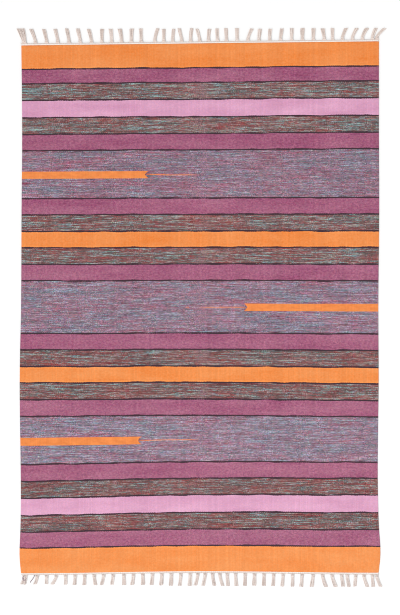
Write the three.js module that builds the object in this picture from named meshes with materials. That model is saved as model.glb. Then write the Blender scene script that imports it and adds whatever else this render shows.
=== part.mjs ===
// A flatwoven kilim rug that lies flat, with a knotted fringe at each end.
// Millimetres, +Z up. X runs across the rug with the weft, and Y runs along its length.
// The origin lies under the middle of the whole rug, fringes included.
import * as THREE from "three";

// Woven cloth
const CLOTH_WIDTH = 1200;
const CLOTH_LENGTH = 1776;
const CLOTH_THICKNESS = 4;
const CELLS_ACROSS = 16;
const CELLS_ALONG = 48;

// The soft crease left down the middle by folding, and the gentle swells of a hand-beaten face
const CREASE_DEPTH = 0.9;
const CREASE_HALF_WIDTH = 14;
const SWELLS = [
  { height: 0.24, waveAcross: 520, waveAlong: 910, start: 0.0 },
  { height: 0.18, waveAcross: -1300, waveAlong: 430, start: 1.3 },
  { height: 0.12, waveAcross: 310, waveAlong: -640, start: 2.1 },
];

// How the last picks at each end lie off straight. They climb towards the far end by so much at
// the right selvedge, fall as much at the left one, and bow that way in the middle of the rug.
const END_DRIFT = {
  far: { climb: 7, bow: 0 },
  near: { climb: 1, bow: 3 },
};

// How far each selvedge stands outside the straight line, where it turns along the rug
const SELVEDGES = [
  { at: -888, left: 0, right: 0 },
  { at: -826, left: 5, right: 6 },
  { at: -740, left: 2, right: 1 },
  { at: -200, left: 4, right: 0 },
  { at: 0, left: 0, right: -1 },
  { at: 350, left: -2, right: 2 },
  { at: 600, left: -4, right: 1 },
  { at: 888, left: -1, right: 1 },
];

// Cream heading at each end, parted from the cloth by a hair
const GAP = 0.45;
const HEADING_WIDTH = 4.6;
const HEADING_HEIGHT = 3;
const HEADING_INSET = 1.5;

// Tassels: a knot against the heading, and three strands that fan out and lie on the floor.
// A knot's sections are read outwards from the heading, and a strand's from its knot.
const KNOT_SECTIONS = [
  { out: 0, width: 7.6, height: 2.4 },
  { out: 2.4, width: 10, height: 5.7 },
  { out: 5.6, width: 10.4, height: 6 },
  { out: 8.4, width: 9.8, height: 4.6 },
];
const STRANDS = 3;
const STRAND_PITCH = 3;
const STRAND_BEND = 1.2;
const STRAND_SECTIONS = [
  { share: 0, width: 2.6, height: 2.5 },
  { share: 0.5, width: 3.3, height: 3.2 },
  { share: 1, width: 3.8, height: 2.4 },
];
const SHOULDER_SHARE = 0.34;

// Each row is a run of evenly tied tassels: where the first and last are tied, how wide
// each fans at its tips, and how far each one's tips lie to the right of its knot
const FAR_RUNS = [
  { first: -589, last: -589, fan: 24, leans: [-10] },
  { first: -552, last: -364, fan: 13.5, leans: [-14, -9, -9, -8, -8, -9] },
  { first: -329, last: -197, fan: 14, leans: [0, -3, -6, 1, -1] },
  { first: -151, last: 89, fan: 12.5, leans: [10, 0, 3, -8, 3, -8, 3, -1, -2] },
  { first: 125, last: 417, fan: 14, leans: [-1, 13, 3, 2, 4, 1, 1, 1, -5] },
  { first: 445, last: 579, fan: 14, leans: [0, 13, 15, 16, 12] },
  { first: 594, last: 594, fan: 15, leans: [26] },
];
const NEAR_RUNS = [
  { first: -587, last: -587, fan: 22, leans: [-6] },
  { first: -546, last: -291, fan: 13, leans: [-7, -1, -13, 0, -2, -1, 4, -7, -4] },
  { first: -255, last: -32, fan: 14, leans: [1, -4, 0, -3, -3, -2, -4, -2] },
  { first: -7, last: 92, fan: 12.5, leans: [-8, -7, 6, 9, 3] },
  { first: 120, last: 343, fan: 13.5, leans: [3, -1, -1, -1, -2, -3, 0, -3] },
  { first: 380, last: 476, fan: 14, leans: [-5, 11, 12, 5] },
  { first: 495, last: 579, fan: 12.5, leans: [6, -3, 12, 4] },
  { first: 594, last: 594, fan: 12, leans: [12] },
];

// The tips are trimmed straight, a little askew to the weave
const TIP_LINES = {
  far: { left: 935.5, right: 937.5 },
  near: { left: -926.5, right: -936 },
};
const TRIM = { error: 1.2, wave: 17 };

const WEAVE = new THREE.MeshStandardMaterial({ color: 0x8f6a78, roughness: 0.95, metalness: 0 });
const COTTON = new THREE.MeshStandardMaterial({ color: 0xded3c6, roughness: 0.95, metalness: 0 });

// One column of a table as a smooth function of the table's "at"
function smooth(table, column) {
  const places = table.map((row) => row.at);
  const values = table.map((row) => row[column]);
  const curve = new THREE.CubicInterpolant(places, values, 1);
  return (at) => curve.evaluate(at)[0];
}

// How far the last pick of one end lies off straight, towards the far end
function endDrift(end, x) {
  const { climb, bow } = END_DRIFT[end];
  const share = (2 * x) / CLOTH_WIDTH;
  return climb * share + bow * Math.cos(Math.PI * share);
}

const selvedge = { left: smooth(SELVEDGES, "left"), right: smooth(SELVEDGES, "right") };

// The skin of a solid. Corners run counter-clockwise as seen from outside, and a mirrored
// skin, worked out for the other end of the rug, takes them in the opposite order.
class Skin {
  constructor(mirrored = false) {
    this.mirrored = mirrored;
    this.corners = [];
  }

  triangle(a, b, c) {
    this.corners.push(a, ...(this.mirrored ? [c, b] : [b, c]));
  }

  quad(a, b, c, d) {
    this.triangle(a, b, c);
    this.triangle(a, c, d);
  }

  // A flat face whose other corners are all seen from its first one
  fan(first, ...others) {
    others.slice(1).forEach((next, before) => this.triangle(first, others[before], next));
  }

  // The walls between two sections of equal count, from one of their sides to the last
  walls(from, to, firstSide = 0) {
    for (let side = firstSide; side < from.length; side += 1) {
      const next = (side + 1) % from.length;
      this.quad(from[next], from[side], to[side], to[next]);
    }
  }

  geometry() {
    return new THREE.BufferGeometry().setFromPoints(this.corners);
  }
}

// Height of the woven face: its thickness, the swells and the middle crease
function faceHeight(x, y) {
  const swell = SWELLS.reduce((sum, wave) => {
    const turn = 2 * Math.PI * (x / wave.waveAcross + y / wave.waveAlong) + wave.start;
    return sum + wave.height * Math.sin(turn);
  }, 0);
  const crease = CREASE_DEPTH * Math.exp(-((x / CREASE_HALF_WIDTH) ** 2));
  return CLOTH_THICKNESS + swell - crease;
}

// The woven cloth: a flat underside, and a face on the same grid between wandering edges
function clothSolid() {
  const crease = CREASE_HALF_WIDTH / (CLOTH_WIDTH / 2);
  const across = [-crease, crease];
  for (let cell = 0; cell <= CELLS_ACROSS; cell += 1) {
    across.push((2 * cell) / CELLS_ACROSS - 1);
  }
  across.sort((a, b) => a - b);
  const sections = [];
  for (let cell = 0; cell <= CELLS_ALONG; cell += 1) {
    const share = cell / CELLS_ALONG;
    const along = (share - 0.5) * CLOTH_LENGTH;
    const floor = across.map((place) => {
      const edge = place < 0 ? selvedge.left(along) : selvedge.right(along);
      const x = place * (CLOTH_WIDTH / 2 + edge);
      const drift = THREE.MathUtils.lerp(endDrift("near", x), endDrift("far", x), share);
      return new THREE.Vector3(x, along + drift, 0);
    });
    const face = floor.map(({ x, y }) => new THREE.Vector3(x, y, faceHeight(x, y)));
    sections.push([...floor, ...face.reverse()]);
  }
  const skin = new Skin();
  sections.slice(1).forEach((section, before) => skin.walls(sections[before], section));
  const [nearEnd, farEnd] = [sections[0], sections[CELLS_ALONG]];
  for (let low = 0; low < across.length - 1; low += 1) {
    const high = 2 * across.length - 1 - low;
    skin.quad(nearEnd[low], nearEnd[low + 1], nearEnd[high - 1], nearEnd[high]);
    skin.quad(farEnd[low], farEnd[high], farEnd[high - 1], farEnd[low + 1]);
  }
  return skin.geometry();
}

// Four corners of a section, from its left foot round to its left shoulder. The function at
// turns a place across the rug and a height into a corner.
function yarnSection(x, { width, height }, at) {
  const [foot, shoulder] = [width / 2, width * SHOULDER_SHARE];
  return [
    at(x - foot, 0),
    at(x + foot, 0),
    at(x + shoulder, height),
    at(x - shoulder, height),
  ];
}

// One end's fringe, worked out as it lies at the far end. Outward is 1 there and -1 at the
// near end, and places along the rug are read outwards from its middle.
class Fringe extends Skin {
  constructor(end, outward) {
    super(outward < 0);
    this.end = end;
    this.tips = TIP_LINES[end];
    this.outward = outward;
  }

  corner(x, out, z) {
    return new THREE.Vector3(x, this.outward * out, z);
  }

  // The heading's inner and outer edges
  inner(x, z = 0) {
    return this.corner(x, CLOTH_LENGTH / 2 + this.outward * endDrift(this.end, x) + GAP, z);
  }

  outer(x, z = 0) {
    const { y } = this.inner(x);
    return this.corner(x, this.outward * y + HEADING_WIDTH, z);
  }

  // The heading from one place to another, with its outer side left open
  heading(left, right) {
    const top = HEADING_HEIGHT;
    this.quad(this.inner(left, top), this.inner(right, top), this.outer(right, top), this.outer(left, top));
    this.quad(this.inner(left), this.outer(left), this.outer(right), this.inner(right));
    this.quad(this.inner(left), this.inner(right), this.inner(right, top), this.inner(left, top));
  }

  // The heading's outer side, plain between two knots
  plainSide(left, right) {
    const top = HEADING_HEIGHT;
    this.quad(this.outer(right), this.outer(left), this.outer(left, top), this.outer(right, top));
  }

  // The heading's outer side round the section that a knot grows from
  knottedSide([leftFoot, rightFoot, rightShoulder, leftShoulder]) {
    const left = this.outer(leftFoot.x, HEADING_HEIGHT);
    const right = this.outer(rightFoot.x, HEADING_HEIGHT);
    this.triangle(left, leftShoulder, leftFoot);
    this.quad(left, right, rightShoulder, leftShoulder);
    this.triangle(rightShoulder, right, rightFoot);
  }

  // The heading's left or right end
  headingEnd(x) {
    const top = HEADING_HEIGHT;
    const end = [this.inner(x), this.outer(x), this.outer(x, top), this.inner(x, top)];
    this.quad(...(x > 0 ? end : end.reverse()));
  }

  // A knot from its section on the heading to its flat end, where the strands leave it
  knot(sections, strands) {
    sections.slice(1).forEach((next, before) => this.walls(sections[before], next, 1));
    const [first, second, third, last] = sections;
    this.quad(first[1], first[0], second[0], second[1]);
    this.quad(second[1], second[0], third[0], third[1]);
    // Each edge that rises from the floor at the flat end, as its foot and its top
    const edges = [
      [last[0], last[3]],
      ...strands.flatMap(([a, b, c, d]) => [[a, d], [b, c]]),
      [last[1], last[2]],
    ];
    const [topLeft, ...tops] = edges.map(([, top]) => top);
    this.fan(third[0], ...edges.map(([foot]) => foot), third[1]);
    this.fan(topLeft, ...tops.reverse());
    for (let gap = 0; gap < edges.length; gap += 2) {
      const [[leftFoot, leftTop], [rightFoot, rightTop]] = edges.slice(gap, gap + 2);
      this.quad(leftTop, rightTop, rightFoot, leftFoot);
    }
  }

  // A strand from its knot's flat end to its cut tip
  strand(sections) {
    sections.slice(1).forEach((next, before) => this.walls(sections[before], next));
    this.quad(...sections[sections.length - 1].toReversed());
  }

  // A knot and its strands. It returns the section where the knot grows from the heading.
  tassel(x, lean, fan) {
    const wall = this.outward * this.outer(x).y;
    const knotSections = KNOT_SECTIONS.map((row) => yarnSection(x, row, (across, up) => (
      row.out > 0 ? this.corner(across, wall + row.out, up) : this.outer(across, up)
    )));
    const knotEnd = wall + KNOT_SECTIONS[KNOT_SECTIONS.length - 1].out;
    const line = THREE.MathUtils.lerp(this.tips.left, this.tips.right, x / CLOTH_WIDTH + 0.5);
    const tip = this.outward * line + TRIM.error * Math.sin((2 * Math.PI * x) / TRIM.wave);
    const tipPitch = (fan - STRAND_SECTIONS[2].width) / (STRANDS - 1);
    const strands = Array.from({ length: STRANDS }, (_, number) => {
      const place = number - (STRANDS - 1) / 2;
      return STRAND_SECTIONS.map((row) => {
        const pitch = THREE.MathUtils.lerp(STRAND_PITCH, tipPitch, row.share);
        const out = THREE.MathUtils.lerp(knotEnd, tip, row.share);
        const middle = x + lean * row.share ** STRAND_BEND + place * pitch;
        return yarnSection(middle, row, (across, up) => this.corner(across, out, up));
      });
    });
    this.knot(knotSections, strands.map(([root]) => root));
    strands.forEach((sections) => this.strand(sections));
    return knotSections[0];
  }

  // The whole heading from left to right, with a tassel at each of its places
  weave(runs) {
    const end = CLOTH_WIDTH / 2 - HEADING_INSET;
    let left = -end;
    this.headingEnd(-end);
    runs.forEach(({ first, last, fan, leans }) => {
      leans.forEach((lean, place) => {
        const share = place / Math.max(leans.length - 1, 1);
        const tied = this.tassel(THREE.MathUtils.lerp(first, last, share), lean, fan);
        this.heading(left, tied[0].x);
        this.plainSide(left, tied[0].x);
        this.heading(tied[0].x, tied[1].x);
        this.knottedSide(tied);
        left = tied[1].x;
      });
    });
    this.heading(left, end);
    this.plainSide(left, end);
    this.headingEnd(end);
    return this.geometry();
  }
}

function addPiece(name, geometry, material) {
  const mesh = new THREE.Mesh(geometry, material);
  mesh.name = name;
  rug.add(mesh);
}

const rug = new THREE.Group();
addPiece("woven_cloth", clothSolid(), WEAVE);
addPiece("far_fringe", new Fringe("far", 1).weave(FAR_RUNS), COTTON);
addPiece("near_fringe", new Fringe("near", -1).weave(NEAR_RUNS), COTTON);

const middle = new THREE.Box3().setFromObject(rug).getCenter(new THREE.Vector3());
rug.position.set(-middle.x, -middle.y, 0);

export default rug;
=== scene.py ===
# The looks of a flatwoven kilim rug that lies flat, with a knotted cotton fringe at each end.
# Sizes are in millimetres, and MM turns them to metres where they go into a mesh or a material.
# X runs across the rug with the weft, and Y runs along its length with the warps.
import math
import bpy
import numpy as np
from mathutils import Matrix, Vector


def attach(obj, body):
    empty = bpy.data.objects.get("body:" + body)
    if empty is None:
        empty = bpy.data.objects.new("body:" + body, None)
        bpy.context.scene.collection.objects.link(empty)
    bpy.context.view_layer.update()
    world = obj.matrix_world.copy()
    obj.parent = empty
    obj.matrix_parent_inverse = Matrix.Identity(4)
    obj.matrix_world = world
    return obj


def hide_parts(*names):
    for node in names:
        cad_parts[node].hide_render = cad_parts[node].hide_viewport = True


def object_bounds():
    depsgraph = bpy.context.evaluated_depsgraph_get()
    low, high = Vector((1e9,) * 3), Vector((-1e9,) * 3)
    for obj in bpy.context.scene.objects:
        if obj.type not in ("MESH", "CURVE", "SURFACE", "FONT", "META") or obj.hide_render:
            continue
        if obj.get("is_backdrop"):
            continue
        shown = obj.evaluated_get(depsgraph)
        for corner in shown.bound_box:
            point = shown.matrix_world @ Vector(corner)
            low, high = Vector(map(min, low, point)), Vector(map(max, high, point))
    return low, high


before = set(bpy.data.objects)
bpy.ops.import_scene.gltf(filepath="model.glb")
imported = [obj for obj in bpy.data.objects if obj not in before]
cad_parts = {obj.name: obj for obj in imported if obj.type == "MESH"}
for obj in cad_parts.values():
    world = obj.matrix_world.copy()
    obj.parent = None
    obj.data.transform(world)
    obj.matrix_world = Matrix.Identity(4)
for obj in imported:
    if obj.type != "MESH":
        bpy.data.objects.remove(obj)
cad_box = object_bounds()

MM = 0.001
# From the weave's own millimetres to the frame's: the box of the whole rug is centred there
SHIFT = (-8.25, -1.006)
chance = np.random.default_rng(7)

# Woven cloth, in the sizes of its solid, with the sharper line in the middle of its crease
CLOTH_WIDTH, CLOTH_LENGTH, CLOTH_THICKNESS = 1200, 1776, 4
CREASE_DEPTH, CREASE_HALF_WIDTH = 0.9, 14
FOLD_DEPTH, FOLD_HALF_WIDTH = 0.35, 2.2
SWELLS = [
    # height, wave across, wave along, start
    (0.24, 520, 910, 0.0),
    (0.18, -1300, 430, 1.3),
    (0.12, 310, -640, 2.1),
]
# A rib for each warp, of uneven width
RIB_PITCH, RIB_UNEVENNESS, RIB_RELIEF = 3.4, 0.16, 0.45
# The face rolls down over the last few ribs at each selvedge
ROLL_WIDTH, ROLL_DEPTH = 9, 0.8
# Small lumps that beating leaves in the face: waves of any direction, in mm and radians
LUMPS, LUMP_HEIGHT, LUMP_LENGTHS, LUMP_STARTS = 12, 0.05, (60, 200), (0, 6.3)
# Each end is rounded over, and so much of it lies hidden under the heading's first cord
END_ROUNDING, HIDDEN_END = 1.2, 1.4
# The last section at each end keeps this share of its height, on top of so many millimetres
END_SHARE, END_LIFT = 0.6, 0.7
# How finely the cloth is drawn: along a band, round a selvedge and across the underside
ROW_SPACING, EDGE_STEPS, UNDERSIDE_COLUMNS = 31, 5, 60

# How the picks lie off straight. They climb towards the far end by so much at the right
# selvedge, fall as much at the left one, and bow that way in the middle of the rug.
PICKS = [
    # along, climb, bow
    (-888, 1, 3),
    (-600, 6, 3),
    (-365, -1, 2),
    (0, 0, 1),
    (450, 3, 0),
    (888, 7, 0),
]

# How far each selvedge stands outside the straight line, where it turns
SELVEDGES = [
    # along, left, right
    (-888, 0, 0),
    (-826, 5, 6),
    (-740, 2, 1),
    (-200, 4, 0),
    (0, 0, -1),
    (350, -2, 2),
    (600, -4, 1),
    (888, -1, 1),
]

# A border is one stripe between two marled bands and two plum ones
PLUM_HEIGHT, MARL_HEIGHT = 55, 56
STRIPE_HEIGHTS = {"orange": 55, "pink": 59}


def border(stripe, first=PLUM_HEIGHT):
    """The bands of one border from its far side to its near side, as wool and height."""
    return [
        ("plum", first),
        ("marl", MARL_HEIGHT),
        (stripe, STRIPE_HEIGHTS[stripe]),
        ("marl", MARL_HEIGHT),
        ("plum", PLUM_HEIGHT),
    ]


# The bands from the far end to the near end, each parted from the next by dark picks
BANDS = [
    ("orange", 83),
    *border("pink", first=49),
    ("lavender_upper", 162),
    *border("orange"),
    ("lavender_middle", 177),
    *border("orange"),
    ("lavender_lower", 156),
    *border("pink"),
    ("orange", 88),
]

# The orange half stripes in the lavender bands. Each starts at one selvedge, ends in a
# fishtail, and runs on as a thread.
HALF_STRIPES = {
    # side it starts from, middle, half height at the selvedge and at its end, tip, notch, and
    # of its thread the end and the rise off the middle at its start and further on
    "lavender_upper": dict(
        side=-1, middle=447, half=(12, 12.5), tip=-168, notch=14, thread=(0, 1.5, -1.5),
    ),
    "lavender_middle": dict(
        side=1, middle=1, half=(13, 12.5), tip=155, notch=10, thread=(4, 0, 0), fleck=-33,
    ),
    "lavender_lower": dict(
        side=-1, middle=-446, half=(13, 13), tip=-193, notch=9, thread=(0, 0, 1),
    ),
}


def curve(table, column, x):
    """One column of a table as a smooth function of its first: between two rows it is a cubic
    whose slopes are the finite differences of the rows."""
    table, x = np.array(table, float), np.asarray(x, float)
    at, values = table[:, 0], table[:, column]
    slopes = np.gradient(values, at)
    row = np.clip(np.searchsorted(at, x) - 1, 0, len(at) - 2)
    step = at[row + 1] - at[row]
    t = np.clip((x - at[row]) / step, 0, 1)
    ends = (1 + 2 * t) * (1 - t) ** 2 * values[row] + t * t * (3 - 2 * t) * values[row + 1]
    bends = t * (1 - t) ** 2 * slopes[row] - t * t * (1 - t) * slopes[row + 1]
    return ends + step * bends


def wander(x, along):
    """How far the pick at each place along the rug lies off straight, at each x: a slope and
    one wave of a cosine, one row for each place along and one column for each x."""
    climb, bow = (curve(PICKS, column, along)[:, None] for column in (1, 2))
    share = 2 * x / CLOTH_WIDTH
    return climb * share + bow * np.cos(np.pi * share)


def face_height(x, y):
    """Height of the woven face: its thickness and swells, less the middle crease and its
    sharper fold line, which are bell curves across the rug."""
    height = CLOTH_THICKNESS - CREASE_DEPTH * np.exp(-((x / CREASE_HALF_WIDTH) ** 2))
    height = height - FOLD_DEPTH * np.exp(-((x / FOLD_HALF_WIDTH) ** 2))
    for swell, across, along, start in SWELLS:
        height = height + swell * np.sin(2 * np.pi * (x / across + y / along) + start)
    return height


# An edge that turns by more than this many degrees is shaded as a sharp one
SHARP_ANGLE = 75


def lofted(name, rings, materials):
    """Closed skins from rings[piece, step, side]: each ring is a section, joined to the next
    by a strip of quads, and the first and last are closed by a cap. Returns the object."""
    pieces, steps, sides, _ = rings.shape
    number = np.arange(pieces * steps * sides).reshape(pieces, steps, sides)
    after = np.roll(number, -1, axis=2)
    quads = np.stack([number[:, :-1], after[:, :-1], after[:, 1:], number[:, 1:]], axis=-1)
    caps = np.concatenate([number[:, 0, ::-1], number[:, -1]])
    corners = np.concatenate([quads.ravel(), caps.ravel()])
    counts = np.repeat([4, sides], [quads.size // 4, len(caps)])
    mesh = bpy.data.meshes.new(name)
    mesh.vertices.add(number.size)
    shifted = (rings + [*SHIFT, 0]) * MM
    mesh.vertices.foreach_set("co", shifted.astype(np.float32).ravel())
    mesh.loops.add(len(corners))
    mesh.loops.foreach_set("vertex_index", corners.astype(np.int32))
    mesh.polygons.add(len(counts))
    mesh.polygons.foreach_set("loop_start", (counts.cumsum() - counts).astype(np.int32))
    mesh.update(calc_edges=True)
    mesh.validate()
    for material in materials:
        mesh.materials.append(material)
    mesh.set_sharp_from_angle(angle=math.radians(SHARP_ANGLE))
    made = bpy.data.objects.new(name, mesh)
    bpy.context.scene.collection.objects.link(made)
    return made


def lay_map(piece, name, shape, u, v, cap_u, cap_v):
    """A UV map for a lofted piece. u and v are given at each ring's points, with one more
    column where the section closes, and cap_u and cap_v at the points of the caps."""
    pieces, steps, sides = shape
    full = (pieces, steps, sides + 1)
    corner = [
        np.stack([a[:, :-1, :-1], a[:, :-1, 1:], a[:, 1:, 1:], a[:, 1:, :-1]], axis=-1)
        for a in (np.broadcast_to(u, full), np.broadcast_to(v, full))
    ]
    ends = (2, pieces, sides)
    caps = [np.array(np.broadcast_to(a, ends), float) for a in (cap_u, cap_v)]
    for a in caps:
        a[0] = a[0, :, ::-1]
    pair = np.stack([np.concatenate([a.ravel(), b.ravel()]) for a, b in zip(corner, caps)], -1)
    layer = piece.data.uv_layers.new(name=name, do_init=False)
    layer.uv.foreach_set("vector", pair.astype(np.float32).ravel())


def lay_values(piece, name, values):
    """A number for each corner of a lofted piece's faces, which its material reads by name."""
    attribute = piece.data.attributes.new(name, "FLOAT", "CORNER")
    attribute.data.foreach_set("value", values.astype(np.float32))


def linear(shade):
    """An sRGB hex value as linear red, green, blue and alpha."""
    levels = [int(shade[i:i + 2], 16) / 255 for i in (0, 2, 4)]
    return [a / 12.92 if a <= 0.04045 else ((a + 0.055) / 1.055) ** 2.4 for a in levels] + [1]


def add(tree, kind, values=(), stops=(), **settings):
    """Adds a node with its settings. Values fill its inputs in order or by name: a node or a
    socket is linked, and anything else is set. Stops are a ramp's places and sRGB shades."""
    node = tree.nodes.new("ShaderNode" + kind)
    for key, value in settings.items():
        setattr(node, key, value)
    inputs = [socket for socket in node.inputs if socket.enabled]
    if isinstance(values, dict):
        inputs, values = [node.inputs[key] for key in values], values.values()
    for socket, value in zip(inputs, values):
        if isinstance(value, bpy.types.Node):
            value = next(output for output in value.outputs if output.enabled)
        if isinstance(value, bpy.types.NodeSocket):
            tree.links.new(value, socket)
        else:
            socket.default_value = value
    for number, (at, shade) in enumerate(stops):
        elements = node.color_ramp.elements
        element = elements[number] if number < len(elements) else elements.new(at)
        element.position, element.color = at, linear(shade)
    return node


# How the weave is drawn in the materials. A bead is where one pick passes over one rib, and a
# shot is the same yarn taken there and back. Real ones are a little finer, too fine to show.
BEAD_HEIGHT, SHOT_HEIGHT = 1.2, 1.8
# A bead is round across its rib and along the warp, as two powers that the scale brings to 1
ROUND_ACROSS, ROUND_ALONG, ROUND_SCALE = 0.45, 0.4, 1.8
BEAD_RELIEF, BEAD_BUMP = 0.45, 0.7
# The dark picks between two bands, and how far from them a lit edge starts and ends to fade
DARK_WOOL, DARK_HALF_HEIGHT, LIT_REACH = "402A34", 2.4, (5, 8)
# Painted shade: yarn is painted darker in the grooves between its beads, up to this share of a
# bead's relief. Each rib is painted a little lighter or darker, as painted light that each rib
# takes its own way
GROOVE_PAINTED_SHADE, GROOVE_TOP, RIB_PAINTED_LIGHT = 0.74, 0.8, 0.025
# Each bead is spun a little warmer or cooler than the next
COOLER, WARMER = (0.975, 1.0, 1.05, 1), (1.02, 0.99, 0.94, 1)
# How much of a fleck's strength goes into its red, green and blue on their own
HUE_SHARE = 0.55
# How far apart the shots of a marled yarn lie in the noise that colours them, and how far the
# seeds of the patterns lie apart in theirs
SHOT_STEP = 5.37
SEED_ACROSS, SEED_ALONG, SEED_SHOTS = 3.7, 5.1, 9.3


class Weave:
    """The nodes that say where a point lies in the weave: its rib across, its pick along, and
    the middle of its bead, in metres, with the relief of the bead. Each pattern of noise has
    a seed of its own."""

    def __init__(self, tree):
        self.tree = tree
        self.place = add(tree, "UVMap", uv_map="Woven")
        self.x, self.y = add(tree, "SeparateXYZ", [self.place]).outputs[:2]
        lift = self.sway(across=120, along=40, swing=0.3, seed=0)
        lifted = add(tree, "Math", [self.y, lift], operation="ADD")
        rib = add(tree, "Math", [self.x, RIB_PITCH * MM], operation="DIVIDE")
        self.rib = add(tree, "Math", [rib], operation="FLOOR")
        # A pick that goes over one rib goes under the next, so their beads lie half a bead apart
        odd = add(tree, "Math", [self.rib, 2], operation="FLOORED_MODULO")
        offset = add(tree, "Math", [odd, 0.5], operation="MULTIPLY")
        bead = BEAD_HEIGHT * MM
        pick = add(tree, "Math", [lifted, 1 / bead, offset], operation="MULTIPLY_ADD")
        number = add(tree, "Math", [pick], operation="FLOOR")
        number = add(tree, "Math", [number, offset], operation="SUBTRACT")
        pitch = RIB_PITCH * MM
        self.bead_x = add(tree, "Math", [self.rib, pitch, pitch / 2], operation="MULTIPLY_ADD")
        self.bead_y = add(tree, "Math", [number, bead, bead / 2], operation="MULTIPLY_ADD")
        across = add(tree, "Math", [rib, 0.5], operation="PINGPONG")
        along = add(tree, "Math", [pick, 0.5], operation="PINGPONG")
        across = add(tree, "Math", [across, ROUND_ACROSS], operation="POWER")
        along = add(tree, "Math", [along, ROUND_ALONG], operation="POWER")
        relief = add(tree, "Math", [across, along], operation="MULTIPLY")
        self.relief = add(tree, "Math", [relief, ROUND_SCALE], operation="MULTIPLY")

    def patches(self, across, along, seed, detail=1.0):
        """Noise from about 0.2 to 0.8 in patches that long across and along, in mm. Each seed
        starts at its own place in the noise."""
        scale = (1 / (across * MM), 1 / (along * MM), 0)
        start = (seed * SEED_ACROSS, seed * SEED_ALONG, 0)
        place = add(self.tree, "VectorMath", [self.place, scale, start], operation="MULTIPLY_ADD")
        values = {"Vector": place, "Scale": 1, "Detail": detail, "Roughness": 0.7}
        return add(self.tree, "TexNoise", values, noise_dimensions="2D")

    def sway(self, across, along, swing, seed, centre=0.0):
        """A length in metres that sways by about swing mm to each side of its centre, in
        patches that long across and along. The noise mostly stays within 0.25 of 0.5."""
        level = self.patches(across, along, seed)
        values = [level, 4 * swing * MM, (centre - 2 * swing) * MM]
        return add(self.tree, "Math", values, operation="MULTIPLY_ADD")

    def shots(self, length, seed):
        """Noise from about 0.2 to 0.8 that runs along each shot of marled yarn in stretches of
        about that length in mm, and starts afresh at the next shot. The shots sway a little
        against the picks, so that a streak moves on to the next pick here and there."""
        tree = self.tree
        wave = self.sway(across=240, along=70, swing=1.0, seed=seed + 11)
        y = add(tree, "Math", [self.bead_y, wave], operation="ADD")
        shot = add(tree, "Math", [y, 1 / (SHOT_HEIGHT * MM)], operation="MULTIPLY")
        shot = add(tree, "Math", [shot], operation="FLOOR")
        values = [self.bead_x, 1 / (length * MM), seed * SEED_SHOTS]
        along = add(tree, "Math", values, operation="MULTIPLY_ADD")
        apart = add(tree, "Math", [shot, SHOT_STEP], operation="MULTIPLY")
        place = add(tree, "CombineXYZ", [along, apart])
        values = {"Vector": place, "Scale": 1, "Detail": 5, "Roughness": 0.9}
        return add(tree, "TexNoise", values, noise_dimensions="2D")

    def flecked(self, colour, fibres):
        """A colour that is lighter or darker by up to fibres of it wherever a shot passes over
        a rib, and has about half as much more or less of red, green and blue on their own, as
        other fibres come to the top."""
        tree = self.tree
        shot = add(tree, "Math", [self.bead_y, SHOT_HEIGHT * MM], operation="DIVIDE")
        shot = add(tree, "Math", [shot], operation="FLOOR")
        cell = add(tree, "CombineXYZ", [self.rib, shot])
        light, hue = add(tree, "TexWhiteNoise", [cell], noise_dimensions="2D").outputs
        light = add(tree, "MapRange", [light, 0, 1, 1 - fibres, 1 + fibres])
        low, swing = (1 - HUE_SHARE * fibres,) * 3, (2 * HUE_SHARE * fibres,) * 3
        hue = add(tree, "VectorMath", [hue, swing, low], operation="MULTIPLY_ADD")
        own = add(tree, "VectorMath", {"Vector": hue, "Scale": light}, operation="SCALE")
        return add(tree, "Mix", [1, colour, own], data_type="RGBA", blend_type="MULTIPLY")

    def add_painted_light(self, shade, painted_light):
        """A shade moved up its scale by painted light at the near end of the cloth, and as far down
        at
        the far end: painted light and shade along the rug.
        """
        half = CLOTH_LENGTH / 2 * MM
        painted_lighter = add(self.tree, "MapRange", [self.y, -half, half, painted_light, -painted_light])
        return add(self.tree, "Math", [shade, painted_lighter], operation="ADD")

    def past_line(self):
        """How far this bead lies from the nearest dark line between two bands, in metres. The
        line sways a little from one rib to the next."""
        tree = self.tree
        past = add(tree, "Attribute", attribute_name="past_line").outputs["Fac"]
        past = add(tree, "Math", [past, self.bead_y], operation="ADD")
        past = add(tree, "Math", [past, self.y], operation="SUBTRACT")
        shift = self.sway(across=90, along=900, swing=1.2, seed=6)
        past = add(tree, "Math", [past, shift], operation="ADD")
        return add(tree, "Math", [past], operation="ABSOLUTE")

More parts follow.
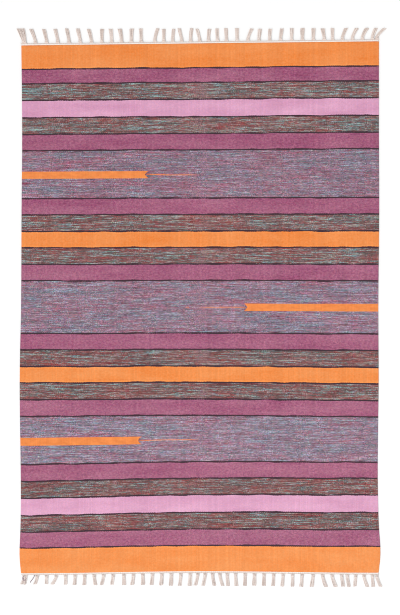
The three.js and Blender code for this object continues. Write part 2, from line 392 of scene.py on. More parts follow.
    def surface(self, material, colour, lit_edge=0.0):
        """What every band has: dark picks at its edges, painted shade in its grooves, and relief,
        on matt wool. A lit edge is how much brighter its picks are next to the dark ones."""
        tree = self.tree
        past = self.past_line()
        if lit_edge:
            start, end = LIT_REACH
            lit = add(tree, "MapRange", [past, start * MM, end * MM, 1 + lit_edge, 1])
            colour = add(tree, "Mix", [1, colour, lit], data_type="RGBA", blend_type="MULTIPLY")
        half = self.sway(across=55, along=900, swing=0.9, seed=5, centre=DARK_HALF_HEIGHT)
        dark = add(tree, "Math", [past, half], operation="LESS_THAN")
        colour = add(tree, "Mix", [dark, colour, linear(DARK_WOOL)], data_type="RGBA")
        # Painted shade in the grooves between the beads, and painted light and shade that differs
        # from one rib to the next
        groove = add(tree, "MapRange", [self.relief, 0, GROOVE_TOP, GROOVE_PAINTED_SHADE, 1])
        own = add(tree, "TexWhiteNoise", {"W": self.rib}, noise_dimensions="1D")
        own = add(tree, "MapRange", [own, 0, 1, 1 - RIB_PAINTED_LIGHT, 1 + RIB_PAINTED_LIGHT])
        shade = add(tree, "Math", [groove, own], operation="MULTIPLY")
        colour = add(tree, "Mix", [1, colour, shade], data_type="RGBA", blend_type="MULTIPLY")
        spun = self.patches(across=7, along=4, seed=14)
        warmth = add(tree, "MapRange", [spun, 0.3, 0.7, 0, 1])
        warmth = add(tree, "Mix", [warmth, COOLER, WARMER], data_type="RGBA")
        colour = add(tree, "Mix", [1, colour, warmth], data_type="RGBA", blend_type="MULTIPLY")
        values = {"Height": self.relief, "Distance": BEAD_RELIEF * MM, "Strength": BEAD_BUMP}
        matt(tree, colour, add(tree, "Bump", values), sheen=0.1)
        return material


def matt(tree, colour, bump, sheen):
    """A rough surface with no shine. Its sheen is the light caught by loose fibres."""
    values = {
        "Base Color": colour,
        "Roughness": 0.92,
        "Specular IOR Level": 0.2,
        "Sheen Weight": sheen,
        "Sheen Roughness": 0.6,
        "Normal": bump,
    }
    add(tree, "OutputMaterial", [add(tree, "BsdfPrincipled", values)])


def new_material(name):
    """An empty material of that name."""
    material = bpy.data.materials.new(name)
    material.use_nodes = True
    material.node_tree.nodes.clear()
    return material


# Where the deep and the light shade of one dye lie on the scale of its noise, and where the
# three shades of a marled yarn lie
DYE_PLACES = (0.25, 0.75)
MARL_PLACES = (0.3, 0.5, 0.7)
# How far a marled yarn's hue leans to one side over longer stretches of cloth, how long its
# stretches of one hue are beside those of one depth, and where it turns from warm to cool
HUE_LEAN, HUE_LENGTH, HUE_TURN = 0.25, 0.7, (0.35, 0.65)
# The worn patches along the crease: how far off the middle of the cloth, how far they reach
# to both sides, and how strongly the most worn one shows
WORN_PLACE, WORN_REACH, WORN_SHARE = 12, 50, 0.75


def dyed_wool(name, scale, strokes, painted_light, fibres, lit_edge=0.0):
    """Matt wool weft in one dye, beaten down until it hides the warps. The dye takes unevenly
    in patches between the deep and the light shade of its scale. Short strokes along the ribs,
    as strong as strokes says, catch the light, and so do single fibres. Its painted light moves
    it towards the light end of its scale at the near end of the rug, and as far back at the far
    end, as if more light fell on the near end."""
    material = new_material(name)
    weave = Weave(material.node_tree)
    tree = weave.tree
    stroke = weave.patches(across=9, along=6, seed=1, detail=2)
    patch = weave.patches(across=220, along=50, seed=2, detail=2)
    shade = add(tree, "Mix", [strokes, patch, stroke])
    shade = weave.add_painted_light(shade, painted_light)
    colour = add(tree, "ValToRGB", [shade], stops=zip(DYE_PLACES, scale))
    colour = weave.flecked(colour, fibres)
    return weave.surface(material, colour, lit_edge)


def marled_wool(name, warm, cool, length, painted_light, fibres, worn, stripe=None):
    """Wool weft spun from mixed colours, which shows as broken streaks along the picks, of
    about that length in mm. Warm and cool are two scales of colour from dark to light that
    the yarn wanders between. Its painted light along the rug is as in dyed wool, and fibres is
    how strongly single ones show. Worn is the plainer, rosier shade that comes through in
    patches along the middle crease."""
    material = new_material(name)
    weave = Weave(material.node_tree)
    tree = weave.tree
    depth = weave.add_painted_light(weave.shots(length, seed=1), painted_light)
    warm, cool = (
        add(tree, "ValToRGB", [depth], stops=zip(MARL_PLACES, scale)) for scale in (warm, cool)
    )
    # The yarn turns from one to the other along each shot, and over longer stretches of cloth
    stretch = weave.patches(across=260, along=40, seed=13)
    lean = add(tree, "Math", [stretch, HUE_LEAN, -HUE_LEAN / 2], operation="MULTIPLY_ADD")
    hue = add(tree, "Math", [weave.shots(length * HUE_LENGTH, seed=4), lean], operation="ADD")
    hue = add(tree, "MapRange", [hue, *HUE_TURN, 0, 1])
    colour = add(tree, "Mix", [hue, warm, cool], data_type="RGBA")
    # The woven place is counted from the left selvedge
    worn_middle = (CLOTH_WIDTH / 2 + WORN_PLACE) * MM
    off = add(tree, "Math", [weave.x, -worn_middle], operation="ADD")
    off = add(tree, "Math", [off], operation="ABSOLUTE")
    values = [off, 0, WORN_REACH * MM, 1, 0]
    close = add(tree, "MapRange", values, interpolation_type="SMOOTHSTEP")
    patch = weave.patches(across=60, along=50, seed=9, detail=2)
    patch = add(tree, "MapRange", [patch, 0.4, 0.65, 0, WORN_SHARE])
    close = add(tree, "Math", [close, patch], operation="MULTIPLY")
    colour = add(tree, "Mix", [close, colour, linear(worn)], data_type="RGBA")
    colour = weave.flecked(colour, fibres)
    if stripe:
        colour = half_stripe(weave, colour, **stripe)
    return weave.surface(material, colour)


STRIPE_ORANGE = ("E88443", "F7954F")
# A fishtail runs out from the bottom of its notch by this power of the way from its middle line
# to its edge. Plum lines the notch, so wide along the picks, up to this share of that way.
NOTCH_POWER = 1.3
LINING_PLUM, LINING_WIDTH, LINING_SHARE = "46324F", 4, 0.7
# The thread starts so far out of the notch's bottom, and is rusty at first. Its rise takes so
# long, and it fades out from so far before its end to so far behind it.
THREAD_ORANGE, THREAD_RUST = "F58F4C", "C4664A"
THREAD_HALF_HEIGHT, THREAD_START = 1.4, 3
RUST_LENGTH, RISE_LENGTH, FADE_BEFORE, FADE_BEHIND = 30, 80, 30, 10
FLECK_HALF_LENGTH = 5


def half_stripe(weave, ground, side, middle, half, tip, notch, thread, fleck=None):
    """An orange half stripe laid into the marled ground. It ends in a fishtail whose notch is
    lined with plum, and a single orange pick runs on from the notch."""
    tree = weave.tree

    def from_selvedge(x):
        """How far a place across the rug lies from the stripe's selvedge, in metres."""
        return (CLOTH_WIDTH / 2 - side * x) * MM

    # How far a bead lies from there towards the tip, and off the stripe's middle line
    reach = from_selvedge(tip)
    along = weave.bead_x
    if side > 0:
        along = add(tree, "Math", [CLOTH_WIDTH * MM, along], operation="SUBTRACT")
    off = add(tree, "Math", [weave.bead_y, -middle * MM], operation="ADD")
    apart = add(tree, "Math", [off], operation="ABSOLUTE")
    height = add(tree, "MapRange", [along, 0, reach, half[0] * MM, half[1] * MM])
    share = add(tree, "Math", [apart, height], operation="DIVIDE")
    rise = add(tree, "Math", [share, NOTCH_POWER], operation="POWER")
    deepest = reach - notch * MM
    end = add(tree, "Math", [rise, notch * MM, deepest], operation="MULTIPLY_ADD")
    past = add(tree, "Math", [along, end], operation="SUBTRACT")
    inside = add(tree, "Math", [share, 1], operation="LESS_THAN")
    before = add(tree, "Math", [past, 0], operation="LESS_THAN")
    fill = add(tree, "Math", [inside, before], operation="MULTIPLY")
    # The lining is laid behind the orange, and is broken
    near = add(tree, "Math", [past, LINING_WIDTH * MM], operation="LESS_THAN")
    deep = add(tree, "Math", [share, LINING_SHARE], operation="LESS_THAN")
    lining = add(tree, "Math", [near, deep], operation="MULTIPLY")
    broken = weave.patches(across=9, along=5, seed=15)
    broken = add(tree, "MapRange", [broken, 0.4, 0.6, 0.1, 0.9])
    lining = add(tree, "Math", [lining, broken], operation="MULTIPLY")
    ground = add(tree, "Mix", [lining, ground, linear(LINING_PLUM)], data_type="RGBA")
    last, *rises = thread
    start, last = deepest + THREAD_START * MM, from_selvedge(last)
    again = None if fleck is None else from_selvedge(fleck)
    ground = single_pick(weave, ground, along, off, start, last, rises, again)
    stroke = weave.patches(across=30, along=14, seed=8, detail=2)
    orange = add(tree, "ValToRGB", [stroke], stops=zip(DYE_PLACES, STRIPE_ORANGE))
    return add(tree, "Mix", [fill, ground, orange], data_type="RGBA")


def single_pick(weave, ground, along, off, start, last, rises, again):
    """The thread of a half stripe: one orange pick from start to last along the stripe, off its
    middle line by its rises. Again is where it comes up once more as a fleck, or None."""
    tree = weave.tree
    values = [along, start, start + RISE_LENGTH * MM, *(rise * MM for rise in rises)]
    rise = add(tree, "MapRange", values)
    off = add(tree, "Math", [off, rise], operation="SUBTRACT")
    off = add(tree, "Math", [off], operation="ABSOLUTE")
    thin = add(tree, "Math", [off, THREAD_HALF_HEIGHT * MM], operation="LESS_THAN")
    values = [along, last - FADE_BEFORE * MM, last + FADE_BEHIND * MM, 1, 0]
    shows = add(tree, "MapRange", values)
    if again is not None:
        fleck = add(tree, "Math", [along, again, FLECK_HALF_LENGTH * MM], operation="COMPARE")
        shows = add(tree, "Math", [shows, fleck], operation="MAXIMUM")
    after = add(tree, "Math", [along, start], operation="GREATER_THAN")
    thin = add(tree, "Math", [thin, after], operation="MULTIPLY")
    thin = add(tree, "Math", [thin, shows], operation="MULTIPLY")
    rust = add(tree, "MapRange", [along, start, start + RUST_LENGTH * MM, 1, 0])
    values = [rust, linear(THREAD_ORANGE), linear(THREAD_RUST)]
    thread = add(tree, "Mix", values, data_type="RGBA")
    return add(tree, "Mix", [thin, ground, thread], data_type="RGBA")


# The slanting grooves between the plies of a yarn, and the painted shade in them: how dark it is,
# up to which height
PLY_RELIEF, PLY_BUMP, PLY_PAINTED_SHADE, PLY_TOP = 0.3, 0.8, 0.8, 0.6


def plied_yarn(name, dark, light, twist):
    """Plied yarn of cotton or wool, matt and a little fuzzy. Twist is the length of one turn in
    mm, and shows as slanting grooves with painted shade in them. Each yarn has its own shade
    between dark and light."""
    material = new_material(name)
    tree = material.node_tree
    place = add(tree, "UVMap", uv_map="Yarn")
    around, along = add(tree, "SeparateXYZ", [place]).outputs[:2]
    turn = add(tree, "Math", [along, 1 / (twist * MM), around], operation="MULTIPLY_ADD")
    groove = add(tree, "Math", [turn, 0.5], operation="PINGPONG")
    groove = add(tree, "Math", [groove, 2], operation="MULTIPLY")
    groove = add(tree, "Math", [groove, 0.5], operation="POWER")
    values = {"Height": groove, "Distance": PLY_RELIEF * MM, "Strength": PLY_BUMP}
    bump = add(tree, "Bump", values)
    own = add(tree, "Attribute", attribute_name="shade").outputs["Fac"]
    colour = add(tree, "ValToRGB", [own], stops=[(0, dark), (1, light)])
    # Painted shade in the grooves between the plies
    dip = add(tree, "MapRange", [groove, 0, PLY_TOP, PLY_PAINTED_SHADE, 1])
    colour = add(tree, "Mix", [1, colour, dip], data_type="RGBA", blend_type="MULTIPLY")
    matt(tree, colour, bump, sheen=0.15)
    return material


# The shades of each wool: deep and light of a dye, and dark to light of a marled yarn
ORANGE, PLUM, PINK = ("EC8031", "F49E5E"), ("8C3C64", "B87890"), ("D092B4", "E6AECC")
MARL_WARM, MARL_COOL = ("802028", "985050", "B0A8A0"), ("482828", "586060", "90C4C8")
LAVENDER_WARM, LAVENDER_COOL = ("903850", "A46C80", "B8A8B8"), ("504452", "727A88", "98B6C8")

# Painted light along the rug: each wool's near end is painted lighter by the given share of its
# scale, and its far end as much darker. The marl is painted the other way round.
WOOLS = {
    "orange": dyed_wool(
        "orange_weft_wool", ORANGE, strokes=0.5, painted_light=0.05, fibres=0.015, lit_edge=0.05,
    ),
    "plum": dyed_wool("plum_weft_wool", PLUM, strokes=0.6, painted_light=0.05, fibres=0.12),
    "pink": dyed_wool("pink_weft_wool", PINK, strokes=0.3, painted_light=0.06, fibres=0.04),
    "marl": marled_wool(
        "red_and_grey_marled_wool", MARL_WARM, MARL_COOL,
        length=150, painted_light=-0.01, fibres=0.26, worn="8C6C70",
    ),
}
for band, stripe in HALF_STRIPES.items():
    WOOLS[band] = marled_wool(
        band + "_marled_wool", LAVENDER_WARM, LAVENDER_COOL,
        length=120, painted_light=0.03, fibres=0.3, worn="9A7486", stripe=stripe,
    )

# The near end's cotton is a darker copy of the far end's: painted shade that keeps its tassels from
# looking brighter under the softbox at the near end
WARP_COTTON = {
    "far": plied_yarn("undyed_cotton_warp_ends", dark="D2C1B8", light="E8DBD4", twist=6),
    "near": plied_yarn("painted_shade_cotton_warp_ends", dark="CFBFB8", light="E4D9D3", twist=6),
}
LOOSE_WOOL = plied_yarn("loose_mauve_weft_wool", dark="8E7A80", light="A08E94", twist=5)
# The dark shade of this cotton is the painted shadow on the heading's outer cords
CREAM_COTTON = plied_yarn("cream_cotton_heading", dark="D4C6BE", light="F6F0EC", twist=5)


def woven_rows():
    """Places along the cloth from the near end to the far end, and for each strip between two
    of them its wool and its place past the nearest dark line at both of its edges."""
    low = -CLOTH_LENGTH / 2
    rows, strips = [low + HIDDEN_END], []
    near_low = [rows[0] + END_ROUNDING, rows[0] + 3 * END_ROUNDING]
    for number, (wool, height) in enumerate(reversed(BANDS)):
        high = low + height
        halves = 2 * math.ceil(height / ROW_SPACING / 2)
        places = [low + height * step / halves for step in range(halves + 1)]
        if number == 0:
            places[:1] = [low + HIDDEN_END] + near_low
        if number == len(BANDS) - 1:
            places[-1:] = [-y for y in reversed(near_low)] + [high - HIDDEN_END]
        for start, end in zip(places, places[1:]):
            nearer_low = (start + end) / 2 < (low + high) / 2
            line = low if (nearer_low and number) or number == len(BANDS) - 1 else high
            strips.append((list(WOOLS).index(wool), start - line, end - line))
        rows += places[1:]
        low = high
    return np.array(rows), strips


# Where the cloth lies in the map for baking, as shares of the map. Across it are its face, the
# right selvedge, the underside, the left selvedge and the place where they close. Along it are
# the rows, with the two end caps below and above them.
MAP_FACE, MAP_RIGHT, MAP_UNDER = (0.002, 0.79), (0.79, 0.796), (0.797, 0.985)
MAP_LEFT, MAP_CLOSE, MAP_ROWS = (0.985, 0.991), 0.993, (0.012, 0.988)
MAP_CAPS, MAP_CAP_HEIGHT, MAP_CAP_WIDTH = (0.002, 0.992), 0.006, (0.01, 0.98)


def cloth_section():
    """A section across the cloth: its face from left to right, the right selvedge, the level
    underside back to the left, and the left selvedge. Each rib of the face has a valley at its
    left edge and two points on its crest, and a selvedge is a half circle. Gives for each point
    its place across, how far up it is from 0 at the underside to 1 at the face, and its dip,
    and then its places across the two maps, with one more where the section closes."""
    half, radius = CLOTH_WIDTH / 2, CLOTH_THICKNESS / 2
    ribs = round(CLOTH_WIDTH / RIB_PITCH)
    widths = 1 + RIB_UNEVENNESS * chance.standard_normal(ribs).clip(-2, 2)
    edges = np.concatenate([[0], widths.cumsum()]) / widths.sum()
    edges = (2 * edges - 1) * (half - radius)
    rib = np.repeat(np.arange(ribs), 3) + np.tile([0, 0.25, 0.75], ribs)
    rib = np.append(rib, ribs)
    face_x = np.interp(rib, np.arange(ribs + 1), edges)
    turn = np.pi * np.arange(1, EDGE_STEPS) / EDGE_STEPS
    arc = np.sin(turn)
    under_x = np.linspace(half - radius, radius - half, UNDERSIDE_COLUMNS)
    x = np.concatenate([
        face_x, half - radius + radius * arc, under_x, radius - half - radius * arc,
    ])
    down_right, up_left = (1 + np.cos(turn)) / 2, (1 - np.cos(turn)) / 2
    up = np.concatenate([np.ones(len(face_x)), down_right, np.zeros(len(under_x)), up_left])
    dip = np.zeros(len(x))
    dip[:len(rib)] = np.where(rib % 1 == 0, RIB_RELIEF, 0)
    # In ribs from the left selvedge
    woven = np.concatenate([
        rib, ribs + arc, np.interp(under_x, edges, np.arange(ribs + 1)), -arc, [0],
    ])
    baked = np.concatenate([
        np.interp(face_x, [-half, half], MAP_FACE),
        np.interp(turn, [0, np.pi], MAP_RIGHT),
        np.interp(-under_x, [-half, half], MAP_UNDER),
        np.interp(turn, [0, np.pi], MAP_LEFT),
        [MAP_CLOSE],
    ])
    return x, up, dip, woven * RIB_PITCH * MM, baked


def woven_cloth():
    """The cloth as one lofted skin, a section at each row. Its points move along with the
    wandering picks and sideways with the selvedges, and its face is the swelling one of the
    solid with ribs, lumps and rolled selvedges."""
    rows, strips = woven_rows()
    x, up, dip, woven, baked = cloth_section()
    half = CLOTH_WIDTH / 2
    left, right = (curve(SELVEDGES, column, rows) for column in (1, 2))
    side = np.where(x < 0, left[:, None], right[:, None])
    across = x * (half + side) / half
    along = rows[:, None] + wander(x, rows)
    roll = ((np.abs(x) - half + ROLL_WIDTH) / ROLL_WIDTH).clip(0)
    height = face_height(across, along) - dip - ROLL_DEPTH * roll ** 2
    for _ in range(LUMPS):
        length, way = chance.uniform(*LUMP_LENGTHS), chance.uniform(0, np.pi)
        wave = across * math.cos(way) + along * math.sin(way)
        height += LUMP_HEIGHT * np.sin(2 * np.pi * wave / length + chance.uniform(*LUMP_STARTS))
    height = height * up
    height[[0, -1]] = END_LIFT + END_SHARE * height[[0, -1]]
    rings = np.stack([across, along, height], axis=-1)[None]
    piece = lofted("woven_cloth_weave", rings, list(WOOLS.values()))

    # Each strip's wool goes all round its section, and the caps have that of the strip beside
    sides, shape = len(x), rings.shape[:3]
    wools = np.repeat([strip[0] for strip in strips], sides)
    wools = np.append(wools, [strips[0][0], strips[-1][0]])
    piece.data.polygons.foreach_set("material_index", wools.astype(np.int32))
    past = np.array([[strip[1], strip[1], strip[2], strip[2]] for strip in strips]) * MM
    past = np.append(np.repeat(past, sides, axis=0).ravel(), np.ones(2 * sides))
    lay_values(piece, "past_line", past)

    ends = rows[[0, -1], None, None]
    lay_map(piece, "Woven", shape, woven, (rows * MM)[None, :, None], woven[:-1], ends * MM)
    baked_rows = np.interp(rows, rows[[0, -1]], MAP_ROWS)[None, :, None]
    cap_u = np.interp(x, [-half, half], MAP_CAP_WIDTH)
    cap_v = np.array(MAP_CAPS)[:, None] + height[[0, -1]] / height.max() * MAP_CAP_HEIGHT
    lay_map(piece, "OFBake", shape, baked, baked_rows, cap_u, cap_v[:, None])
    return piece


YARN_RADIUS, YARN_SIDES = 0.95, 6
# Each tube has its own cell in the map for baking. In shares of the cell: where its side starts
# across and how much it takes, where it starts and ends along, and its two caps below it.
CELL_START, CELL_SHARE, CELL_RISE = 0.03, 0.94, (0.2, 0.97)
CAP_MIDDLES, CAP_HEIGHT, CAP_ROUND = (0.25, 0.75), 0.09, (0.2, 0.07)


def tubes(name, path, radius, up, material, atlas, shades=chance.random):
    """Closed round tubes along path[piece, step, xyz] in mm. Up is a direction that no path
    takes, and atlas is how many tubes stand side by side in the map for baking. Shades gives
    so many yarns their places between the material's dark and light shade."""
    tangent = np.gradient(path, axis=1)
    tangent /= np.linalg.norm(tangent, axis=2, keepdims=True)
    across = np.cross(tangent, up)
    across /= np.linalg.norm(across, axis=2, keepdims=True)
    under = np.cross(tangent, across)
    turn = 2 * np.pi * np.arange(YARN_SIDES) / YARN_SIDES
    spoke = np.cos(turn)[:, None] * across[:, :, None] + np.sin(turn)[:, None] * under[:, :, None]
    radius = np.broadcast_to(radius, path.shape[:2])[..., None, None]
    piece = lofted(name, path[:, :, None] + radius * spoke, [material])

    pieces, steps, _ = path.shape
    shape = (pieces, steps, YARN_SIDES)
    around = np.arange(YARN_SIDES + 1) / YARN_SIDES
    length = np.linalg.norm(np.diff(path, axis=1), axis=2).cumsum(axis=1)
    length = np.concatenate([np.zeros((pieces, 1)), length], axis=1)[..., None] * MM
    lay_map(piece, "Yarn", shape, around, length, around[:-1], 0)
    shade = np.repeat(shades(pieces), (steps - 1) * YARN_SIDES * 4)
    lay_values(piece, "shade", np.append(shade, np.full(2 * pieces * YARN_SIDES, 0.5)))

    high = math.ceil(pieces / atlas)
    column = (np.arange(pieces) % atlas)[:, None, None]
    row = (np.arange(pieces) // atlas)[:, None, None]
    up_the_cell = np.linspace(*CELL_RISE, steps)[:, None]
    cap_u = np.array(CAP_MIDDLES)[:, None, None] + CAP_ROUND[0] * np.cos(turn)
    cap_v = CAP_HEIGHT + CAP_ROUND[1] * np.sin(turn)
    lay_map(
        piece, "OFBake", shape,
        (column + CELL_START + CELL_SHARE * around) / atlas, (row + up_the_cell) / high,
        (column[:, :, 0] + cap_u) / atlas, (row[:, :, 0] + cap_v) / high,
    )
    return piece


# Fringe, in the sizes of its solids. Outward is which way along the rug it points, and tips is
# how far from the middle of the rug it reaches at the left and at the right selvedge. A run is
# a row of evenly tied tassels: where the first and last are tied, how wide each fans, and how
# far each one's tips lie to the right.
FRINGES = {
    "far": dict(outward=1, tips=(935.5, 937.5), runs=[
        (-590, -590, 28, [-12]),
        (-552, -364, 13.5, [-14, -9, -9, -8, -8, -9]),
        (-329, -197, 14, [0, -3, -6, 1, -1]),
        (-151, 89, 12.5, [10, 0, 3, -8, 3, -8, 3, -1, -2]),
        (125, 417, 14, [-1, 13, 3, 2, 4, 1, 1, 1, -5]),
        (445, 579, 14, [0, 13, 15, 16, 12]),
        (594, 594, 15, [26]),
    ]),
    "near": dict(outward=-1, tips=(928, 937), runs=[
        (-587, -587, 22, [-6]),
        (-546, -291, 13, [-7, -1, -13, 0, -2, -1, 4, -7, -4]),
        (-255, -32, 14, [1, -4, 0, -3, -3, -2, -4, -2]),
        (-7, 92, 12.5, [-8, -7, 6, 9, 3]),
        (120, 343, 13.5, [3, -1, -1, -1, -2, -3, 0, -3]),
        (380, 476, 14, [-5, 11, 12, 5]),
        (495, 579, 12.5, [6, -3, 12, 4]),
        (594, 594, 12, [12]),
    ]),
}
GAP, HEADING_WIDTH, HEADING_INSET = 0.45, 4.6, 1.5
# The heading's cords from the cloth outwards, how they weave up and down and to the sides, and
# their places between the dark and the light shade of the cotton. The two outer cords are
# darker, a painted shadow along the heading's outer edge.
CORD_START, CORD_PITCH, CORD_RADIUS, CORD_HEIGHT = -5.4, 1.5, 0.82, 2.4
CORD_WAVE, CORD_SWAY = 0.4, 0.1
CORD_SHADES_AND_PAINTED_SHADOW = (1, 0.95, 0.5, 0)

# A tassel's yarns pass these places before they fan out
KNOT_START, KNOT_END = 2.4, 8.4
GATHERING = [
    # out, half width of the tassel, height
    (-1.0, 7.0, 1.8),
    (0.7, 5.8, 2.2),
    (KNOT_START, 4.4, 3.0),
    (5.4, 3.9, 3.1),
    (KNOT_END, 4.0, 3.1),
]
FAN_STEPS = 10
# A wider tassel has more yarns, and is gathered less tightly than one of the usual fan
YARNS_PER_MM, FEWEST_YARNS, MOST_YARNS = 0.85, 10, 18
USUAL_FAN, WIDEST_GATHER = 14, 1.6
# The tips are trimmed in a line that waves a little, and are slightly ragged
TRIM_ERROR, TRIM_WAVE, RAGGEDNESS = 1.2, 17, 1.1
# A yarn leans and sways more towards its tip, and thins at its tip
LEAN_POWER, SWAY_BEND, SWAY_WAVE, SWAY_SIDE, TIP_TAPER = 1.2, 1.3, 3.5, 0.8, 0.25
# It sinks to the floor this much faster than it fans out, and lies there in one of two layers
SINK_RATE, FLOOR_GAP, LAYER_HEIGHT, LAYER_SETTLING = 3.5, 0.05, 1.6, 0.25

# The knot's turns of yarn, each a slanting oval that isn't quite closed
KNOT_TURNS, KNOT_STEPS, KNOT_YARN_RADIUS = 3, 16, 1.1
KNOT_HALF_WIDTH, KNOT_HALF_HEIGHT, KNOT_MIDDLE = 4.3, 1.75, 3.0
FIRST_TURN, TURN_PITCH, TURN_SLANT = 3.2, 2.1, 0.9


class Fringe:
    """One end's heading, tassels and knots. Out is counted from the heading's outer edge, away
    from the cloth."""

    def __init__(self, end, outward, tips, runs):
        self.end, self.outward, self.tips = end, outward, tips
        tassels = [
            (np.linspace(first, last, len(leans)), leans, np.full(len(leans), fan))
            for first, last, fan, leans in runs
        ]
        self.ties, self.leans, self.fans = (np.concatenate(column) for column in zip(*tassels))

    def edge(self, x):
        """Where the heading's outer edge lies along the rug, at each x."""
        drift = wander(x.ravel(), [self.outward * CLOTH_LENGTH / 2]).reshape(x.shape)
        return self.outward * (CLOTH_LENGTH / 2 + GAP + HEADING_WIDTH) + drift

    def path(self, x, out, z):
        """The points at those places across, out and up, in woven millimetres."""
        x, out, z = np.broadcast_arrays(x, out, z)
        return np.stack([x, self.edge(x) + self.outward * out, z], axis=-1)

    def heading(self):
        """Cords of bare weft that go over and under the ribs of warp: sine waves, each half a
        wave on from the next."""
        half = CLOTH_WIDTH / 2 - HEADING_INSET
        x = np.linspace(-half, half, 2 * round(CLOTH_WIDTH / RIB_PITCH))
        cord = np.arange(len(CORD_SHADES_AND_PAINTED_SHADOW))[:, None]
        wave = np.sin(np.pi * x / RIB_PITCH + np.pi * cord)
        out = CORD_START + CORD_PITCH * cord + CORD_SWAY * wave
        # The two outer cords are painted darker, as a shadow line along the heading's outer edge
        return tubes(
            self.end + "_heading", self.path(x, out, CORD_HEIGHT + CORD_WAVE * wave),
            CORD_RADIUS, (0, 0, 1), CREAM_COTTON, 1, shades=lambda count: np.array(CORD_SHADES_AND_PAINTED_SHADOW),
        )

    def tassels(self):
        """Yarns that gather from the heading, pass the knot, and fan out on the floor. From the
        knot on, a yarn's share of its free length takes it from its place there to its tip."""
        counts = np.clip(np.round(self.fans * YARNS_PER_MM), FEWEST_YARNS, MOST_YARNS).astype(int)
        tie, lean, fan = (np.repeat(a, counts)[:, None] for a in (self.ties, self.leans, self.fans))
        number = np.concatenate([np.arange(count) for count in counts])[:, None]
        # Its place in its tassel, from -1 at the left to 1 at the right
        spot = 2 * number / (np.repeat(counts, counts)[:, None] - 1) - 1
        first, last = self.tips
        trim = first + (last - first) * (tie / CLOTH_WIDTH + 0.5)
        waving = TRIM_ERROR * np.sin(2 * np.pi * tie / TRIM_WAVE)
        ragged = chance.uniform(-RAGGEDNESS, RAGGEDNESS, tie.shape)
        tip = trim + (waving + ragged) - self.outward * self.edge(tie)

        repeats = [1] * (len(GATHERING) - 1) + [FAN_STEPS]
        start, gather, knot_height = np.repeat(np.array(GATHERING).T, repeats, axis=1)
        share = np.concatenate([np.zeros(len(GATHERING) - 1), np.linspace(0, 1, FAN_STEPS)])
        out = start + (tip - start) * share
        gather = gather * np.clip(fan / USUAL_FAN, 1, WIDEST_GATHER)
        spread = gather + (fan / 2 - YARN_RADIUS - gather) * share
        bend, aside = chance.uniform(-1, 1, (2, len(tie), 1))
        swing = share * (SWAY_BEND * bend * np.sin(SWAY_WAVE * share) + SWAY_SIDE * aside)
        across = tie + lean * share ** LEAN_POWER + spot * spread + swing

        layer = number % 2 * LAYER_HEIGHT
        rest = YARN_RADIUS + FLOOR_GAP + layer * (1 - LAYER_SETTLING * share)
        sink = np.clip(share * SINK_RATE, 0, 1)
        path = self.path(across, out, knot_height * (1 - sink) + rest * sink)
        radius = YARN_RADIUS * (1 - TIP_TAPER * (share == 1))
        return tubes(self.end + "_tassels", path, radius, (0, 0, 1), WARP_COTTON[self.end], 24)

    def knots(self):
        """Turns of yarn round each tassel: ovals that slant one way and the other."""
        angle = 2 * np.pi * np.arange(KNOT_STEPS) / KNOT_STEPS
        tie = np.repeat(self.ties, KNOT_TURNS)[:, None]
        turn = np.tile(np.arange(KNOT_TURNS), len(self.ties))[:, None]
        slant = np.where(turn == 1, -TURN_SLANT, TURN_SLANT)
        path = self.path(
            tie + KNOT_HALF_WIDTH * np.cos(angle),
            FIRST_TURN + TURN_PITCH * turn + slant * np.cos(angle),
            KNOT_MIDDLE + KNOT_HALF_HEIGHT * np.sin(angle),
        )
        name, cotton = self.end + "_knots", WARP_COTTON[self.end]
        return tubes(name, path, KNOT_YARN_RADIUS, (0, 1, 0), cotton, 12)


# The two tails of weft at the near left corner. One curls round its middle, from its far side on,
# in a spiral that tightens and comes down, and the other slants away beside it.
LOOSE_RADIUS, LOOSE_STEPS = 1.0, 24
CURL_MIDDLE, CURL_TURNS, CURL_RADIUS, CURL_TIGHTENING = (-588, -908), 1.3, 7.2, 3.6
CURL_STRETCH, CURL_HEIGHT, CURL_DROP = 1.15, 4.6, 0.8
SLANT_START, SLANT_RUN, SLANT_HEIGHT = (-555, -897), (-13, -26), 1.2
SLANT_SWAY, SLANT_WAVE = 1.5, 5


def loose_wefts():
    """A tail of dark weft that curls in a ring on the corner tassel, and a shorter one beside
    it: a spiral, stretched along the rug, and a slanting line with a slight sway."""
    share = np.linspace(0, 1, LOOSE_STEPS)
    turn = np.pi / 2 + 2 * CURL_TURNS * np.pi * share
    radius = CURL_RADIUS - CURL_TIGHTENING * share
    ring = np.stack([
        CURL_MIDDLE[0] + radius * np.cos(turn),
        CURL_MIDDLE[1] + CURL_STRETCH * radius * np.sin(turn),
        CURL_HEIGHT - CURL_DROP * share,
    ], axis=-1)
    slant = np.stack([
        SLANT_START[0] + SLANT_RUN[0] * share + SLANT_SWAY * np.sin(SLANT_WAVE * share),
        SLANT_START[1] + SLANT_RUN[1] * share,
        SLANT_HEIGHT + 0 * share,
    ], axis=-1)
    path = np.stack([ring, slant])
    return tubes("near_loose_wefts", path, LOOSE_RADIUS, (0, 0, 1), LOOSE_WOOL, 2)


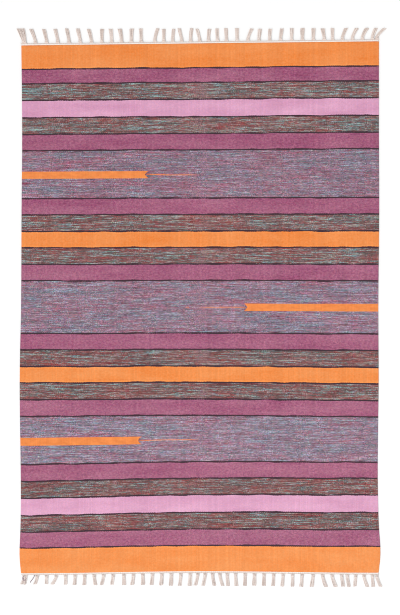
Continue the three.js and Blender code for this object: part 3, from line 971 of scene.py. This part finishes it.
# The photo's view: straight down, from where the lens takes in its whole width. Its scale was
# taken at about the height of the selvedges above the floor.
PHOTO_WIDTH, PHOTO_HEIGHT = 400, 615
MM_PER_PIXEL, SCALE_HEIGHT = 3.355, 2.4
WOVEN_MIDDLE_PIXEL = (199.8, 307.7)
LENS, SENSOR = 85, 36
camera = bpy.data.objects.new("camera", bpy.data.cameras.new("camera"))
camera.data.lens, camera.data.sensor_width = LENS, SENSOR
camera.data.sensor_fit = "HORIZONTAL"
view_width = PHOTO_WIDTH * MM_PER_PIXEL
camera.location = (
    (SHIFT[0] + (PHOTO_WIDTH / 2 - WOVEN_MIDDLE_PIXEL[0]) * MM_PER_PIXEL) * MM,
    (SHIFT[1] + (WOVEN_MIDDLE_PIXEL[1] - PHOTO_HEIGHT / 2) * MM_PER_PIXEL) * MM,
    (view_width * LENS / SENSOR + SCALE_HEIGHT) * MM,
)
bpy.context.scene.collection.objects.link(camera)
bpy.context.scene.camera = camera
bpy.context.scene.view_settings.view_transform = "Standard"
# Pixels as sharp as the photo's
bpy.context.scene.cycles.filter_width = 1.0

# Even daylight from all round, with a soft sun from the left and a softbox at the near end
DAYLIGHT = 0.85
world = bpy.data.worlds.new("daylight")
world.use_nodes = True
world.node_tree.nodes["Background"].inputs["Color"].default_value = (1, 1, 1, 1)
world.node_tree.nodes["Background"].inputs["Strength"].default_value = DAYLIGHT
bpy.context.scene.world = world


def place_light(name, kind, energy, place, turn, **settings):
    """A light that the camera doesn't see, at a place in metres, turned by so many degrees."""
    light = bpy.data.objects.new(name, bpy.data.lights.new(name, kind))
    light.data.energy = energy
    for key, value in settings.items():
        setattr(light.data, key, value)
    light.location = place
    light.rotation_euler = [math.radians(a) for a in turn]
    light.visible_camera = False
    bpy.context.scene.collection.objects.link(light)


place_light(
    "sun", "SUN", energy=1.17, place=(0, 0, 4), turn=(20, -38, 0), angle=math.radians(25),
)
place_light(
    "softbox", "AREA", energy=35, place=(0.2, -3.6, 2.4), turn=(56, 0, 0),
    shape="RECTANGLE", size=4.0, size_y=2.0,
)

# A wide floor of white paper, in metres, a hair below the rug
FLOOR_REACH, FLOOR_DROP = 60, 0.0002
floor_mesh = bpy.data.meshes.new("floor")
corners = [(-1, -1), (1, -1), (1, 1), (-1, 1)]
corners = [(x * FLOOR_REACH, y * FLOOR_REACH, 0) for x, y in corners]
floor_mesh.from_pydata(corners, [], [(0, 1, 2, 3)])
floor = bpy.data.objects.new("floor", floor_mesh)
floor.location.z = -FLOOR_DROP
white = new_material("white_paper_floor")
values = {"Base Color": linear("EEEEEE"), "Roughness": 1, "Specular IOR Level": 0}
add(white.node_tree, "OutputMaterial", [add(white.node_tree, "BsdfPrincipled", values)])
floor_mesh.materials.append(white)
bpy.context.scene.collection.objects.link(floor)
floor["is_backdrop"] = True

cloth = woven_cloth()
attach(cloth, "root")
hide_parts("woven_cloth")
for end, facts in FRINGES.items():
    fringe = Fringe(end, **facts)
    for piece in (fringe.heading(), fringe.tassels(), fringe.knots()):
        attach(piece, "root")
        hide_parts(end + "_fringe")
wefts = loose_wefts()
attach(wefts, "root")

bpy.context.view_layer.update()
boxes = {"cad": cad_box, "visual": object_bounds()}
boxes = {name: [list(corner) for corner in box] for name, box in boxes.items()}
